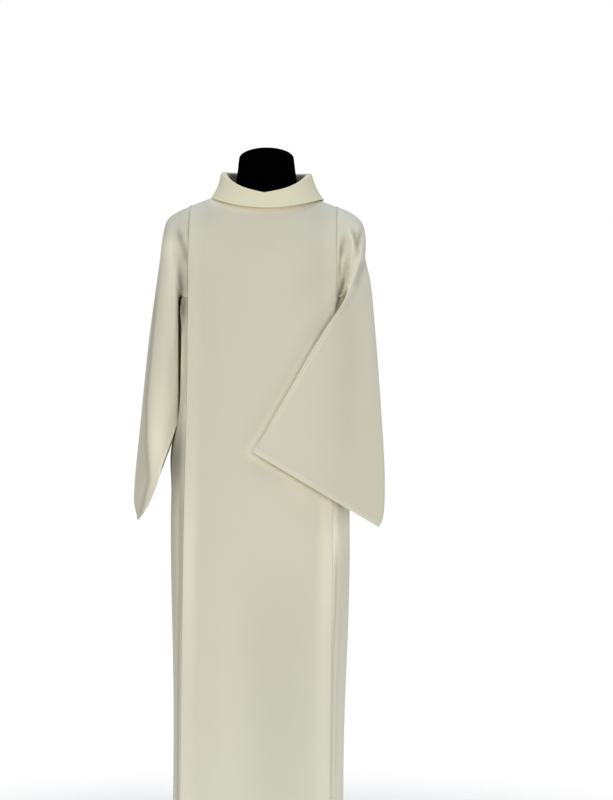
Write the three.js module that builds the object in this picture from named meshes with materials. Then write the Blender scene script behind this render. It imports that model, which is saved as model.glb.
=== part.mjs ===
// An alb worn by a limbless dress form on a stand, in millimetres.
// +X is the wearer's left, -Y the front, +Z up. The origin is the middle of the
// stand's underside, on the floor.

import * as THREE from 'three';

// ---------------------------------------------------------------- driving sizes

const WALL = 2;                 // thickness of the cloth
const SEAM = 0.3;               // gap kept between pieces that are sewn together

const PANEL_HALF = 157;         // half the width of the front and back panels
const HEM_Z = 80;               // lower edge of the alb above the floor
const UNDERARM_Z = 1265;        // top edges of the side panels
const CHEST_Z = 1300;           // above this the panels round towards the shoulders
const PANEL_CROWN = 2.3;        // how square a panel's section is

const NECK_HALF = 100;          // half the width of the neckline
const NECK_SIDE_Z = 1486;       // height of the neckline at its sides
const SHOULDER_SLOPE = 0.39;    // fall of the shoulder for each millimetre outwards
const SHOULDER_LEAN = -5;       // the alb sits a little towards the wearer's right

const FRONT = { facing: -1, middle: 'front', seam: 'frontSeam', neckDepth: 88, neckDrop: 21 };
const BACK = { facing: 1, middle: 'back', seam: 'backSeam', neckDepth: 78, neckDrop: 0 };

const NECK_COLUMNS = 15;        // steps along half of the neckline
const SHOULDER_COLUMNS = 3;     // steps along each shoulder
const BODY_ROWS = 12;           // steps from the hem to the chest
const CHEST_ROWS = 7;           // steps from the chest to the shoulder
const SIDE_COLUMNS = 12;        // steps across a side panel
const RING_STEPS = 24;          // steps round a sleeve, a multiple of three
const SLEEVE_ROWS = 17;         // steps along a sleeve
const SLEEVE_ROW_CROWDING = 1.4;

// ---------------------------------------------------------------- tables

function table(names, rows) {
  return rows.map((row) => Object.fromEntries(names.map((name, i) => [name, row[i]])));
}

// Sections of the body. Depths and the side are measured from the middle of the
// section, which lies at lean; flute is the depth of the soft folds at the sides.
const BODY = table(
  ['z', 'lean', 'front', 'frontSeam', 'back', 'backSeam', 'side', 'flute'], [
    [80, -18, 172, 138, 142, 118, 183, 16],
    [400, -16, 156, 124, 124, 104, 185, 11],
    [800, -12, 136, 104, 110, 92, 192, 4],
    [950, -9, 131, 98, 107, 89, 184, 1],
    [1040, -7, 129, 96, 106, 88, 178, 0],
    [1265, -5, 128, 88, 106, 87, 176, 0],
    [1300, -5, 128, 86, 106, 86, 176, 0],
  ]);

// Rings of a sleeve from the armhole (t 0) to the cuff (t 1). top is the fold that
// runs down from the shoulder, under the fold that runs down from the underarm: out
// is their distance from the middle of the body, y and z their place. half is half
// the thickness of the sleeve, turned by turn degrees from the front-to-back
// direction; bow is how far its middle hangs towards the body, and armhole is the
// share of the armhole's own outline in the ring.
const SLEEVE_COLUMNS = ['t', 'topOut', 'topY', 'topZ', 'underOut', 'underY', 'underZ',
  'half', 'turn', 'bow', 'armhole'];

const HANGING_SLEEVE = table(SLEEVE_COLUMNS, [
  [0.00, 162, 0, 1464, 181, 0, 1266, 90, 0, 0, 1],
  [0.03, 182, 0, 1456, 184, 0, 1271, 90, 0, 0, 0.7],
  [0.06, 202, 0, 1447, 187, 0, 1269, 89, 0, 0, 0.4],
  [0.09, 216, 0, 1434, 188, 0, 1262, 88, 0, 0, 0.18],
  [0.13, 222, 0, 1407, 188, 0, 1250, 87, 0, 0, 0.05],
  [0.21, 231, 0, 1349, 188, 0, 1222, 86, 0, 2, 0],
  [0.45, 255, 0, 1177, 188, 0, 1150, 84, 0, 6, 0],
  [0.69, 272, 0, 1005, 188, 0, 1088, 80, 0, 11, 0],
  [0.93, 286, 0, 838, 188, 0, 1042, 73, 0, 15, 0],
  [1.00, 278, 0, 790, 188, 0, 1030, 70, 0, 16, 0],
]);

const SWUNG_SLEEVE = table(SLEEVE_COLUMNS, [
  [0.00, 152, 0, 1464, 172, 0, 1266, 90, 0, 0, 1],
  [0.03, 175, 0, 1456, 177, 0, 1271, 92, 0, 0, 0.72],
  [0.07, 197, -3, 1445, 185, -14, 1269, 88, 5, 0, 0.4],
  [0.115, 208, -10, 1414, 187, -52, 1258, 74, 14, 0, 0.15],
  [0.19, 209, -26, 1364, 172, -102, 1243, 48, 26, 0, 0.02],
  [0.29, 220, -52, 1296, 142, -121, 1214, 26, 24, 0, 0],
  [0.42, 232, -76, 1210, 108, -136, 1161, 15, 16, 0, 0],
  [0.57, 240, -97, 1110, 71, -145, 1096, 11, 12, 0, 0],
  [0.72, 247, -111, 1010, 35, -150, 1033, 10, 9, 0, 0],
  [0.87, 252, -118, 905, 2, -153, 975, 10, 8, 0, 0],
  [1.00, 246, -119, 782, -20, -154, 940, 10, 7, 0, 0],
]);

// The swung sleeve is folded along a line from the shoulder point to the underarm,
// bowed outwards. Cloth stands out along it and sinks beside it, towards the armhole.
const FOLD_LINE = {
  topX: 205, topZ: 1412, underX: 152, underZ: 1262, bow: 9, ridge: 8, dip: 10, width: 13,
};

// Rings of the form from its underside to the top of its neck.
const FORM = table(
  ['z', 'side', 'front', 'back', 'shift'], [
    [780, 150, 96, 86, -5],
    [784, 158, 102, 92, -5],
    [860, 166, 108, 96, -5],
    [1000, 142, 98, 86, -5],
    [1150, 152, 106, 90, -5],
    [1280, 164, 113, 92, -5],
    [1350, 178, 102, 86, -5],
    [1400, 190, 80, 70, -5],
    [1422, 198, 60, 54, -5],
    [1436, 192, 46, 42, -5],
    [1450.2, 175, 38, 36, -5],
    [1463.5, 149, 36, 34, -5],
    [1475.9, 117, 38, 36, -5],
    [1484, 90, 46, 42, -4],
    [1500, 72, 56, 52, -1],
    [1521, 65, 58, 56, 0],
    [1566, 59, 55, 54, 0],
  ]);
const FORM_STEPS = 32;
const FORM_SQUARENESS = 2.15;
const DOME_HEIGHT = 24;
const DOME_RINGS = 4;

const POLE_RADIUS = 16;
const FLANGE_RADIUS = 48;
const FLANGE_THICKNESS = 5;
const HUB_RADIUS = 30;
const HUB_HEIGHT = 34;
const BASE_RADIUS = 200;
const BASE_THICKNESS = 12;
const ROUND_STEPS = 48;

// Value of a column where the key column has the given value, on a smooth curve
// through the rows.
function readAt(rows, key, value, column) {
  const last = rows.length - 1;
  const at = Math.min(Math.max(value, rows[0][key]), rows[last][key]);
  let i = 0;
  while (i < last - 1 && at > rows[i + 1][key]) i += 1;
  const slope = (k) => {
    const before = rows[Math.max(k - 1, 0)];
    const after = rows[Math.min(k + 1, last)];
    return (after[column] - before[column]) / (after[key] - before[key]);
  };
  const span = rows[i + 1][key] - rows[i][key];
  const s = (at - rows[i][key]) / span;
  const rise = s * s * (3 - 2 * s);
  return rows[i][column] * (1 - rise) + rows[i + 1][column] * rise
    + span * s * (1 - s) * ((1 - s) * slope(i) - s * slope(i + 1));
}

// ---------------------------------------------------------------- cloth walls

// A closed wall of cloth. rows holds the outer face, row by row; across x along
// points outwards. The inner face lies one wall inside it. cutSquare names the axes
// that the wall's thickness may not lean along at a point, so that a seam is square.
function clothWall(rows, { ring = false, cutSquare = () => '' } = {}) {
  const rowCount = rows.length;
  const columnCount = rows[0].length;
  const lastRow = rowCount - 1;
  const lastColumn = columnCount - 1;
  const column = (j) => (ring
    ? (j + columnCount) % columnCount
    : Math.min(Math.max(j, 0), lastColumn));

  const innerPoint = (i, j) => {
    const across = rows[i][column(j + 1)].clone().sub(rows[i][column(j - 1)]);
    const along = rows[Math.min(i + 1, lastRow)][j].clone().sub(rows[Math.max(i - 1, 0)][j]);
    const outwards = across.cross(along);
    for (const axis of cutSquare(i, j)) outwards[axis] = 0;
    return rows[i][j].clone().addScaledVector(outwards.normalize(), -WALL);
  };
  const outer = rows.flat();
  const inner = rows.flatMap((row, i) => row.map((point, j) => innerPoint(i, j)));
  const positions = [...outer, ...inner].flatMap((point) => point.toArray());

  const triangles = [];
  const face = (a, b, c, d) => triangles.push(a, b, c, a, c, d);
  const out = (i, j) => i * columnCount + column(j);
  const inn = (i, j) => rowCount * columnCount + out(i, j);
  const columnSteps = ring ? columnCount : lastColumn;
  for (let i = 0; i < lastRow; i += 1) {
    for (let j = 0; j < columnSteps; j += 1) {
      face(out(i, j), out(i, j + 1), out(i + 1, j + 1), out(i + 1, j));
      face(inn(i, j), inn(i + 1, j), inn(i + 1, j + 1), inn(i, j + 1));
    }
  }
  for (let j = 0; j < columnSteps; j += 1) {
    face(out(0, j), inn(0, j), inn(0, j + 1), out(0, j + 1));
    face(out(lastRow, j), out(lastRow, j + 1), inn(lastRow, j + 1), inn(lastRow, j));
  }
  if (!ring) {
    for (let i = 0; i < lastRow; i += 1) {
      face(out(i, 0), out(i + 1, 0), inn(i + 1, 0), inn(i, 0));
      face(out(i, lastColumn), inn(i, lastColumn), inn(i + 1, lastColumn), out(i + 1, lastColumn));
    }
  }
  return indexedGeometry(positions, triangles);
}

function indexedGeometry(positions, triangles) {
  const geometry = new THREE.BufferGeometry();
  geometry.setAttribute('position', new THREE.Float32BufferAttribute(positions, 3));
  geometry.setIndex(triangles);
  geometry.computeVertexNormals();
  return geometry;
}

const grid = (rowCount, columnCount, place) => Array.from({ length: rowCount },
  (_, i) => Array.from({ length: columnCount }, (__, j) => place(i, j)));

// ---------------------------------------------------------------- front and back

const body = (z, column) => readAt(BODY, 'z', z, column);

// Depth of a panel below the chest, x from the middle of the section.
function panelDepth(panel, x, z) {
  const middle = body(z, panel.middle);
  const seam = body(z, panel.seam);
  const share = Math.min(Math.abs(x) / PANEL_HALF, 1.2);
  return seam + (middle - seam) * (1 - share ** PANEL_CROWN);
}

// The panel's upper edge over x: the neckline in the middle, the shoulder beyond it.
function topEdge(panel, x) {
  const out = Math.abs(x) / NECK_HALF;
  if (out >= 1) {
    return { depth: 0, z: NECK_SIDE_Z - SHOULDER_SLOPE * (Math.abs(x) - NECK_HALF) };
  }
  const round = Math.sqrt(1 - out * out);
  return { depth: panel.neckDepth * round, z: NECK_SIDE_Z - panel.neckDrop * round ** 1.5 };
}

// A point above the chest: each column is a quarter of an ellipse, from upright at
// the chest (turn 0) to level at the upper edge (turn 1).
function chestPoint(panel, x, turn) {
  const chest = panelDepth(panel, x, CHEST_Z);
  const top = topEdge(panel, x);
  const angle = turn * Math.PI / 2;
  const depth = top.depth + (chest - top.depth) * Math.cos(angle);
  const z = CHEST_Z + (top.z - CHEST_Z) * Math.sin(angle);
  return new THREE.Vector3(x + SHOULDER_LEAN, panel.facing * depth, z);
}

function bodyPoint(panel, x, z) {
  return new THREE.Vector3(x + body(z, 'lean'), panel.facing * panelDepth(panel, x, z), z);
}

// Where a column of the panel's grid lies: evenly spread below the chest, gathered
// to the neckline and the shoulders at the upper edge.
function columnX(step, turn) {
  const steps = NECK_COLUMNS + 2 * SHOULDER_COLUMNS;
  const fromMiddle = step - steps / 2;
  const side = Math.sign(fromMiddle);
  const out = Math.abs(fromMiddle) - NECK_COLUMNS / 2;
  const even = fromMiddle / (steps / 2) * PANEL_HALF;
  const atTop = out <= 0
    ? NECK_HALF * Math.sin(fromMiddle / NECK_COLUMNS * Math.PI)
    : side * (NECK_HALF + out / SHOULDER_COLUMNS * (PANEL_HALF - NECK_HALF));
  const gather = turn * turn * (3 - 2 * turn);
  return even + (atTop - even) * gather;
}

function panelGeometry(panel) {
  const steps = NECK_COLUMNS + 2 * SHOULDER_COLUMNS;
  const rowCount = BODY_ROWS + CHEST_ROWS + 1;
  const onShoulder = (step) => step <= SHOULDER_COLUMNS || step >= steps - SHOULDER_COLUMNS;
  const place = (i, j) => {
    const step = panel === FRONT ? j : steps - j;
    if (i < BODY_ROWS) {
      const z = HEM_Z + (CHEST_Z - HEM_Z) * i / BODY_ROWS;
      return bodyPoint(panel, columnX(step, 0), z);
    }
    const turn = (i - BODY_ROWS) / CHEST_ROWS;
    const point = chestPoint(panel, columnX(step, turn), turn);
    if (turn === 1 && onShoulder(step)) point.y = panel.facing * SEAM / 2;
    return point;
  };
  const cutSquare = (i, j) => (j === 0 || j === steps ? 'x' : '')
    + (i === rowCount - 1 && onShoulder(j) ? 'y' : '');
  return clothWall(grid(rowCount, steps + 1, place), { cutSquare });
}

// ---------------------------------------------------------------- side panels

// A point of a side panel, share 0 at the front seam and 1 at the back seam.
function sidePoint(side, share, z) {
  const front = body(z, 'frontSeam');
  const back = body(z, 'backSeam');
  const angle = (share - 0.5) * Math.PI;
  const bulge = (body(z, 'side') - PANEL_HALF - SEAM) * Math.cos(angle) ** 0.8;
  const fold = body(z, 'flute') * Math.sin(2 * Math.PI * share) ** 2;
  const out = PANEL_HALF + SEAM + Math.max(bulge, 0) - fold * Math.cos(angle);
  const y = (back - front) / 2 + (back + front) / 2 * Math.sin(angle);
  return new THREE.Vector3(side * out + body(z, 'lean'), y, z);
}

function sidePanelGeometry(side) {
  const rowCount = BODY_ROWS + 1;
  const place = (i, j) => {
    const share = side > 0 ? j / SIDE_COLUMNS : 1 - j / SIDE_COLUMNS;
    return sidePoint(side, share, HEM_Z + (UNDERARM_Z - HEM_Z) * i / BODY_ROWS);
  };
  const cutSquare = (i, j) => (j === 0 || j === SIDE_COLUMNS ? 'x' : '')
    + (i === BODY_ROWS ? 'z' : '');
  return clothWall(grid(rowCount, SIDE_COLUMNS + 1, place), { cutSquare });
}

// ---------------------------------------------------------------- sleeves

const CORNER = 1 / 3;           // share of the armhole from the shoulder to a corner
const ARC_SHARE = 0.85;         // share of that edge which lies above the chest

// A point of the armhole: down the front panel's edge, across the top of the side
// panel and up the back panel's edge.
function armholePoint(side, around) {
  if (around > CORNER && around < 1 - CORNER) {
    const share = (around - CORNER) / (1 - 2 * CORNER);
    const point = sidePoint(side, share, UNDERARM_Z);
    point.z += SEAM;
    return point;
  }
  const panel = around <= CORNER ? FRONT : BACK;
  const down = Math.min(around, 1 - around) / CORNER;
  const x = side * (PANEL_HALF + SEAM);
  if (down <= ARC_SHARE) return chestPoint(panel, x, 1 - down / ARC_SHARE);
  const below = (down - ARC_SHARE) / (1 - ARC_SHARE);
  return bodyPoint(panel, x, CHEST_Z + (UNDERARM_Z + SEAM - CHEST_Z) * below);
}

// How far the swung sleeve's front stands out at a place seen from the front.
function foldLift(x, z) {
  const down = (FOLD_LINE.topZ - z) / (FOLD_LINE.topZ - FOLD_LINE.underZ);
  const lineX = FOLD_LINE.topX + (FOLD_LINE.underX - FOLD_LINE.topX) * down
    + FOLD_LINE.bow * 4 * down * (1 - down);
  const fade = Math.max(Math.min(4 * down, 8 * (1 - down), 1), 0);
  const hump = (offset, width) => Math.exp(-(((x - lineX - offset) / width) ** 2));
  const ridge = FOLD_LINE.ridge * hump(0, FOLD_LINE.width);
  const dip = FOLD_LINE.dip * down * hump(-1.8 * FOLD_LINE.width, 1.2 * FOLD_LINE.width);
  return fade * (ridge - dip);
}

function sleevePoint(rows, side, t, around) {
  const read = (column) => readAt(rows, 't', t, column);
  const top = new THREE.Vector3(side * read('topOut'), read('topY'), read('topZ'));
  const under = new THREE.Vector3(side * read('underOut'), read('underY'), read('underZ'));
  const turn = THREE.MathUtils.degToRad(read('turn'));
  const angle = around * 2 * Math.PI;
  const share = (1 + Math.cos(angle)) / 2;
  const thick = read('half') * Math.sin(angle);
  const point = under.clone().lerp(top, share);
  point.x -= side * (thick * Math.sin(turn) + read('bow') * Math.sin(angle) ** 2);
  point.y -= thick * Math.cos(turn);
  if (rows === SWUNG_SLEEVE && around < 0.5) point.y -= foldLift(point.x, point.z);
  return point.lerp(armholePoint(side, around), read('armhole'));
}

function sleeveGeometry(rows, side) {
  const corners = [CORNER * RING_STEPS, RING_STEPS - CORNER * RING_STEPS];
  const aroundStep = (j) => (side > 0 ? j : (RING_STEPS - j) % RING_STEPS);
  const place = (i, j) => sleevePoint(rows, side,
    (i / SLEEVE_ROWS) ** SLEEVE_ROW_CROWDING, aroundStep(j) / RING_STEPS);
  const cutSquare = (i, j) => {
    if (i > 0) return '';
    const step = aroundStep(j);
    return (step <= corners[0] || step >= corners[1] ? 'x' : '')
      + (step >= corners[0] && step <= corners[1] ? 'z' : '')
      + (step === 0 ? 'y' : '');
  };
  return clothWall(grid(SLEEVE_ROWS + 1, RING_STEPS, place), { ring: true, cutSquare });
}

// ---------------------------------------------------------------- collar

const FOLD = { side: 95, front: 88, back: 78, sideZ: 1537, frontDrop: 51, backRise: 6 };
const FALL = { side: 120, front: 117, sideZ: 1484, frontDrop: 32, backDrop: 66, clear: 6 };
const FOLD_RADIUS = 3;
const STAND_GAP = 1.3;          // between the collar's foot and the neckline
const COLLAR_ROWS = table(
  ['part', 'share'], [
    ['stand', 0], ['stand', 0.5], ['stand', 1], ['fold', 0],
    ['fall', 0], ['fall', 0.33], ['fall', 0.66], ['fall', 1],
  ]);
const FALL_BOW = { front: -1.5, back: 5 };   // how far the fall swells between its edges

function foldPoint(east, north) {
  const depth = north < 0 ? FOLD.front : FOLD.back;
  const z = FOLD.sideZ + (north < 0
    ? -FOLD.frontDrop * (-north) ** 1.6
    : FOLD.backRise * north);
  return new THREE.Vector3(FOLD.side * east, depth * north, z);
}

// A point of the back panel's face at a height, moved out by a clearance.
function aboveBack(x, z, clear) {
  const at = (dx, dz) => {
    const rise = (z + dz - CHEST_Z) / (topEdge(BACK, x + dx).z - CHEST_Z);
    return chestPoint(BACK, x + dx, Math.asin(Math.min(rise, 1)) * 2 / Math.PI);
  };
  const point = at(0, 0);
  const outwards = at(-1, 0).sub(at(1, 0)).cross(at(0, 0).sub(at(0, -4))).normalize();
  return point.addScaledVector(outwards, clear);
}

function fallEdgePoint(east, north) {
  const x = FALL.side * east;
  if (north < 0) {
    return new THREE.Vector3(x, FALL.front * north, FALL.sideZ - FALL.frontDrop * (-north) ** 1.8);
  }
  const z = FALL.sideZ - FALL.clear - FALL.backDrop * (1 - Math.abs(east));
  return aboveBack(x - SHOULDER_LEAN, z, FALL.clear);
}

function collarPoint(part, share, east, north) {
  const fold = foldPoint(east, north);
  const panel = north < 0 ? FRONT : BACK;
  const outwards = new THREE.Vector3(east, north, 0);
  if (part === 'fold') return fold;
  if (part === 'stand') {
    const foot = new THREE.Vector3(NECK_HALF * east + SHOULDER_LEAN, panel.neckDepth * north,
      topEdge(panel, NECK_HALF * east).z - WALL / 2);
    foot.addScaledVector(outwards, -WALL - STAND_GAP);
    const head = fold.clone().addScaledVector(outwards, -FOLD_RADIUS);
    head.z -= FOLD_RADIUS;
    return foot.lerp(head, share);
  }
  const bow = FALL_BOW.front + (FALL_BOW.back - FALL_BOW.front) * Math.max(north, 0);
  const head = fold.clone().addScaledVector(outwards, FOLD_RADIUS);
  head.z -= FOLD_RADIUS;
  return head.lerp(fallEdgePoint(east, north), share)
    .addScaledVector(outwards, bow * Math.sin(Math.PI * share));
}

function collarGeometry() {
  const steps = 2 * NECK_COLUMNS;
  const place = (i, j) => {
    const angle = -j / steps * 2 * Math.PI;
    const row = COLLAR_ROWS[i];
    return collarPoint(row.part, row.share, Math.cos(angle), Math.sin(angle));
  };
  return clothWall(grid(COLLAR_ROWS.length, steps, place), { ring: true });
}

// ---------------------------------------------------------------- form and stand

function formRing(row, steps) {
  return Array.from({ length: steps }, (_, j) => {
    const angle = j / steps * 2 * Math.PI;
    const reach = (value) => Math.sign(value) * Math.abs(value) ** (2 / FORM_SQUARENESS);
    const depth = Math.sin(angle) < 0 ? row.front : row.back;
    return new THREE.Vector3(row.shift + row.side * reach(Math.cos(angle)),
      depth * reach(Math.sin(angle)), row.z);
  });
}

// The torso and neck in one closed skin, with a low dome on the neck.
function formGeometry() {
  const neck = FORM[FORM.length - 1];
  const dome = Array.from({ length: DOME_RINGS - 1 }, (_, k) => {
    const angle = (k + 1) / DOME_RINGS * Math.PI / 2;
    const shrink = Math.cos(angle);
    return {
      z: neck.z + DOME_HEIGHT * Math.sin(angle), side: neck.side * shrink,
      front: neck.front * shrink, back: neck.back * shrink, shift: 0,
    };
  });
  const rings = [...FORM, ...dome].map((row) => formRing(row, FORM_STEPS));
  const points = rings.flat();
  const bottom = points.push(new THREE.Vector3(FORM[0].shift, 0, FORM[0].z)) - 1;
  const top = points.push(new THREE.Vector3(0, 0, neck.z + DOME_HEIGHT)) - 1;
  const triangles = [];
  const at = (i, j) => i * FORM_STEPS + j % FORM_STEPS;
  for (let j = 0; j < FORM_STEPS; j += 1) {
    triangles.push(bottom, at(0, j + 1), at(0, j));
    for (let i = 0; i < rings.length - 1; i += 1) {
      triangles.push(at(i, j), at(i, j + 1), at(i + 1, j + 1));
      triangles.push(at(i, j), at(i + 1, j + 1), at(i + 1, j));
    }
    triangles.push(top, at(rings.length - 1, j), at(rings.length - 1, j + 1));
  }
  return indexedGeometry(points.flatMap((point) => point.toArray()), triangles);
}

// A turned part about the upright axis, from pairs of radius and height.
function turned(profile) {
  const points = profile.map(([radius, z]) => new THREE.Vector2(radius, z));
  return new THREE.LatheGeometry(points, ROUND_STEPS).rotateX(Math.PI / 2);
}

function poleGeometry() {
  const top = FORM[0].z - SEAM;
  const foot = BASE_THICKNESS + SEAM;
  return turned([
    [0, foot], [HUB_RADIUS, foot], [HUB_RADIUS, foot + HUB_HEIGHT - 6],
    [HUB_RADIUS - 6, foot + HUB_HEIGHT], [POLE_RADIUS, foot + HUB_HEIGHT],
    [POLE_RADIUS, top - FLANGE_THICKNESS - 20], [POLE_RADIUS + 8, top - FLANGE_THICKNESS],
    [FLANGE_RADIUS, top - FLANGE_THICKNESS], [FLANGE_RADIUS, top], [0, top],
  ]);
}

function baseGeometry() {
  const edge = 4;
  return turned([
    [0, 0], [BASE_RADIUS - 2, 0], [BASE_RADIUS, 2], [BASE_RADIUS, BASE_THICKNESS - edge],
    [BASE_RADIUS - edge, BASE_THICKNESS], [0, BASE_THICKNESS],
  ]);
}

// ---------------------------------------------------------------- the part

const ALB_CLOTH = new THREE.MeshStandardMaterial({ color: '#dcd7c2', roughness: 0.9, metalness: 0 });
const FORM_COVER = new THREE.MeshStandardMaterial({ color: '#0b0b0c', roughness: 0.85, metalness: 0 });
const STAND_METAL = new THREE.MeshStandardMaterial({ color: '#1a1a1c', roughness: 0.45, metalness: 0.6 });

const alb = new THREE.Group();
const add = (name, geometry, material) => {
  const mesh = new THREE.Mesh(geometry, material);
  mesh.name = name;
  alb.add(mesh);
};

add('front_panel', panelGeometry(FRONT), ALB_CLOTH);
add('back_panel', panelGeometry(BACK), ALB_CLOTH);
add('side_panel_right', sidePanelGeometry(-1), ALB_CLOTH);
add('side_panel_left', sidePanelGeometry(1), ALB_CLOTH);
add('sleeve_right', sleeveGeometry(HANGING_SLEEVE, -1), ALB_CLOTH);
add('sleeve_left', sleeveGeometry(SWUNG_SLEEVE, 1), ALB_CLOTH);
add('collar', collarGeometry(), ALB_CLOTH);
add('dress_form', formGeometry(), FORM_COVER);
add('stand_pole', poleGeometry(), STAND_METAL);
add('stand_base', baseGeometry(), STAND_METAL);

export default alb;
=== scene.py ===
# An alb on a limbless dress form and its stand.
# +X is the wearer's left, -Y the front, +Z up. The tables and the shapes are in
# millimetres; a mesh is turned into metres when it is finished.

import math

import bmesh
import bpy
import numpy as np
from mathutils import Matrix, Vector


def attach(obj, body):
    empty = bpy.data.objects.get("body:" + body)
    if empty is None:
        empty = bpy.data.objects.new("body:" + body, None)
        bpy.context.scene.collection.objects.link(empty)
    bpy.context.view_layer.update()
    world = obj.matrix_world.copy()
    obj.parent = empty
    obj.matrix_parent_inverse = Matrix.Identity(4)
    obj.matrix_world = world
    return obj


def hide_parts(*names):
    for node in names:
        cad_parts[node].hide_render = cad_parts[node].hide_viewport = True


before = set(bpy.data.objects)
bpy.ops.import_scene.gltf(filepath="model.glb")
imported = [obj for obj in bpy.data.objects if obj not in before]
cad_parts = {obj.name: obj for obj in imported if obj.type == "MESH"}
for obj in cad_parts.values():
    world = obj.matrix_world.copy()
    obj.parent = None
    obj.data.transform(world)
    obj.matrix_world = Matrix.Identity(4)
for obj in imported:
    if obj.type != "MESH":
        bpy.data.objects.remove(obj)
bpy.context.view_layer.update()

MM = 0.001

# ---------------------------------------------------------------- driving sizes

WALL = 2.0  # thickness of the cloth
SEAM = 0.3  # gap kept between pieces that are sewn together
PANEL_HALF = 157.0
HEM_Z = 80.0
UNDERARM_Z = 1265.0
CHEST_Z = 1300.0
PANEL_CROWN = 2.3  # power of a panel's curve from its middle to its seams
NECK_HALF = 100.0
NECK_SIDE_Z = 1486.0
SHOULDER_SLOPE = 0.39
SHOULDER_LEAN = -5.0  # where the middle of the shoulders lies
SHOULDER_SKEW = 0.016  # the left shoulder sits a little lower than the right
PANEL_STEPS = 10.5  # from a panel's middle to its edge
NECK_STEPS = 7.5  # of these, the ones that lie along the neckline at the top
NECK_SOFTENING = 45.0  # reach over which the neckline's corners soften below it
EDGE_ROUND = 0.6  # radius of the cloth's edges

# Steps of the grids that the pieces are made on.
PANEL_ACROSS, PANEL_LOW, PANEL_TOP = 116, 118, 58  # low is below the chest
SIDE_ACROSS, SIDE_UP = 64, 150
SLEEVE_DOWN, SLEEVE_AROUND = 164, 176
COLLAR_AROUND, COLLAR_STAND, COLLAR_FOLD, COLLAR_FALL = 192, 14, 8, 26
FORM_AROUND, FORM_UP, DOME_UP = 96, 149, 14
TURNED_AROUND = 96
FINE_STEPS = 4000  # for working out evenly spaced points

# The two panels: which way they face, their columns of the table below, and how far the
# neckline lies from the middle and drops below its sides.
FRONT = {"facing": -1, "middle": "front", "seam": "frontSeam", "depth": 88, "drop": 21}
BACK = {"facing": 1, "middle": "back", "seam": "backSeam", "depth": 78, "drop": 0}


def table(names, *rows):
    return {name: np.array(column, float) for name, column in zip(names.split(), zip(*rows))}


# Sections of the body. Depths and the side are measured from the middle of the
# section, which lies at lean; flute is the depth of the soft folds at the sides.
BODY = table(
    "z lean front frontSeam back backSeam side flute",
    (80, -18, 172, 138, 142, 118, 183, 16),
    (400, -16, 156, 124, 124, 104, 183, 11),
    (800, -12, 136, 104, 110, 92, 193, 4),
    (950, -9, 131, 98, 107, 89, 184, 1),
    (1040, -7, 129, 96, 106, 88, 178, 0),
    (1265, -5, 128, 88, 106, 87, 176, 0),
    (1300, -5, 128, 86, 106, 86, 176, 0),
)

# Rings of a sleeve from the armhole (t 0) to the cuff (t 1): the fold from the
# shoulder (top), the fold from the underarm (under), half the thickness, its turn,
# the bow towards the body and the share of the armhole's own outline.
SLEEVE_COLUMNS = "t topOut topY topZ underOut underY underZ half turn bow armhole"

HANGING_SLEEVE = table(
    SLEEVE_COLUMNS,
    (0.00, 162, 0, 1464, 181, 0, 1266, 90, 0, 0, 1),
    (0.03, 182, 0, 1456, 184, 0, 1271, 90, 0, 2, 0.7),
    (0.06, 204, 0, 1446, 187, 0, 1269, 89, 0, 4, 0.4),
    (0.09, 220, 0, 1433, 188, 0, 1262, 88, 0, 7, 0.18),
    (0.13, 224, 0, 1405, 188, 0, 1250, 87, 0, 9, 0.05),
    (0.21, 229, 0, 1349, 188, 0, 1222, 86, 0, 10, 0),
    (0.45, 253, 0, 1177, 188, 0, 1150, 84, 0, 11, 0),
    (0.69, 271, 0, 1005, 188, 0, 1088, 80, 0, 13, 0),
    (0.93, 286, 0, 838, 188, 0, 1042, 73, 0, 15, 0),
    (1.00, 278, 0, 790, 188, 0, 1030, 70, 0, 16, 0),
)

SWUNG_SLEEVE = table(
    SLEEVE_COLUMNS,
    (0.00, 152, 0, 1464, 172, 0, 1266, 90, 0, 0, 1),
    (0.03, 175, 0, 1456, 177, 0, 1271, 92, 0, 0, 0.72),
    (0.07, 206, -3, 1438, 185, -14, 1269, 88, 5, 0, 0.4),
    (0.115, 214.5, -12, 1419, 187, -42, 1262, 70, 10, 0, 0.15),
    (0.19, 209, -34, 1364, 178, -78, 1250, 34, 17, 0, 0.02),
    (0.29, 223, -68, 1296, 144, -113, 1216, 18, 18, 0, 0),
    (0.42, 232, -87, 1210, 108, -130, 1161, 12, 15, 0, 0),
    (0.57, 240, -103, 1110, 71, -140, 1096, 10, 12, 0, 0),
    (0.72, 247, -113, 1010, 35, -145, 1033, 9, 9, 0, 0),
    (0.87, 253, -117, 905, 2, -148, 975, 9, 8, 0, 0),
    (0.95, 253, -118, 836, -12, -149, 954, 9, 7, 0, 0),
    (0.985, 249, -118, 800, -18, -149, 944, 9, 7, 0, 0),
    (1.00, 241, -118, 783, -20, -149, 940, 9, 7, 0, 0),
)

# Rings of the form from its underside to the top of its neck.
FORM = table(
    "z side front back shift",
    (780, 150, 96, 86, -5),
    (784, 158, 102, 92, -5),
    (860, 166, 108, 96, -5),
    (1000, 142, 98, 86, -5),
    (1150, 152, 106, 90, -5),
    (1280, 164, 113, 92, -5),
    (1350, 178, 102, 86, -5),
    (1400, 190, 80, 70, -5),
    (1418.8, 198, 60, 54, -5),
    (1432.8, 192, 46, 42, -5),
    (1447, 175, 38, 36, -5),
    (1460.3, 149, 36, 34, -5),
    (1472.7, 117, 38, 36, -5),
    (1484, 90, 46, 42, -4),
    (1500, 72, 56, 52, -1),
    (1521, 65, 58, 56, 0),
    (1566, 59, 55, 54, 0),
)
FORM_SQUARENESS = 2.15  # power of the form's outline, 2 for an ellipse
DOME_HEIGHT = 24.0  # of the rounded top of the neck


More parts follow.
